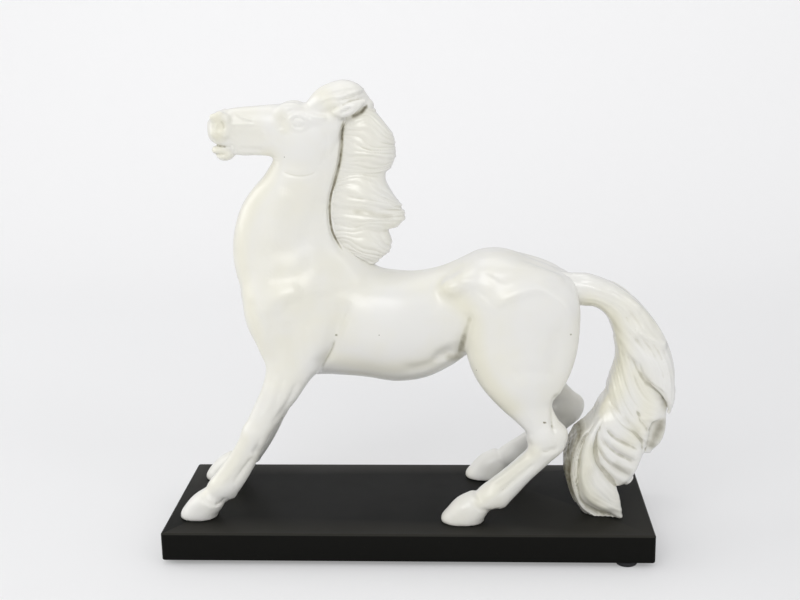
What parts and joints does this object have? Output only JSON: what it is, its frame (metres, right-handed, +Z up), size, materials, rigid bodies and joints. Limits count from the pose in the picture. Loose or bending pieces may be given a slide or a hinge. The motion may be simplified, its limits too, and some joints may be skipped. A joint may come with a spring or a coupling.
{
  "type": "horse sculpture",
  "caption": "Glossy ivory horse sculpture standing braced with raised head, flowing mane and arched tail, fixed to a rectangular black plinth.",
  "frame": {"origin": "on the ground, under the middle of the whole object's box", "axes": "+X from the horse's head towards its tail, +Y from its near side, which the picture shows, to its far side, +Z up"},
  "size_m": [0.419, 0.152, 0.3854],
  "materials": {
    "ivory_resin": "cast resin filled with marble dust, sprayed warm ivory white under a gloss coat, with a thin brown antique wash left in the creases of the mane and tail",
    "black_lacquer": "board sprayed with black satin lacquer, edges eased, faint orange peel",
    "black_rubber": "moulded matt rubber",
    "zinc_steel": "bright zinc plate"
  },
  "bodies": {
    "root": {"plinth": "black_lacquer", "body_casting": "ivory_resin", "head_casting": "ivory_resin", "mane_casting": "ivory_resin", "tail_casting": "ivory_resin", "near_foreleg": "ivory_resin", "far_foreleg": "ivory_resin", "near_hindleg": "ivory_resin", "far_hindleg": "ivory_resin", "pin_near_foreleg": "zinc_steel", "pin_far_foreleg": "zinc_steel", "pin_near_hindleg": "zinc_steel", "pin_far_hindleg": "zinc_steel", "pin_head": "zinc_steel", "pin_mane_upper": "zinc_steel", "pin_mane_lower": "zinc_steel", "pin_dock": "zinc_steel", "stud_near_foreleg": "zinc_steel", "washer_near_foreleg": "zinc_steel", "nut_near_foreleg": "zinc_steel", "stud_far_foreleg": "zinc_steel", "washer_far_foreleg": "zinc_steel", "nut_far_foreleg": "zinc_steel", "stud_near_hindleg": "zinc_steel", "washer_near_hindleg": "zinc_steel", "nut_near_hindleg": "zinc_steel", "stud_far_hindleg": "zinc_steel", "washer_far_hindleg": "zinc_steel", "nut_far_hindleg": "zinc_steel", "stud_tail": "zinc_steel", "washer_tail": "zinc_steel", "nut_tail": "zinc_steel", "rubber_foot_front_left": "black_rubber", "rubber_foot_front_right": "black_rubber", "rubber_foot_rear_left": "black_rubber", "rubber_foot_rear_right": "black_rubber"}
  },
  "joints": []
}
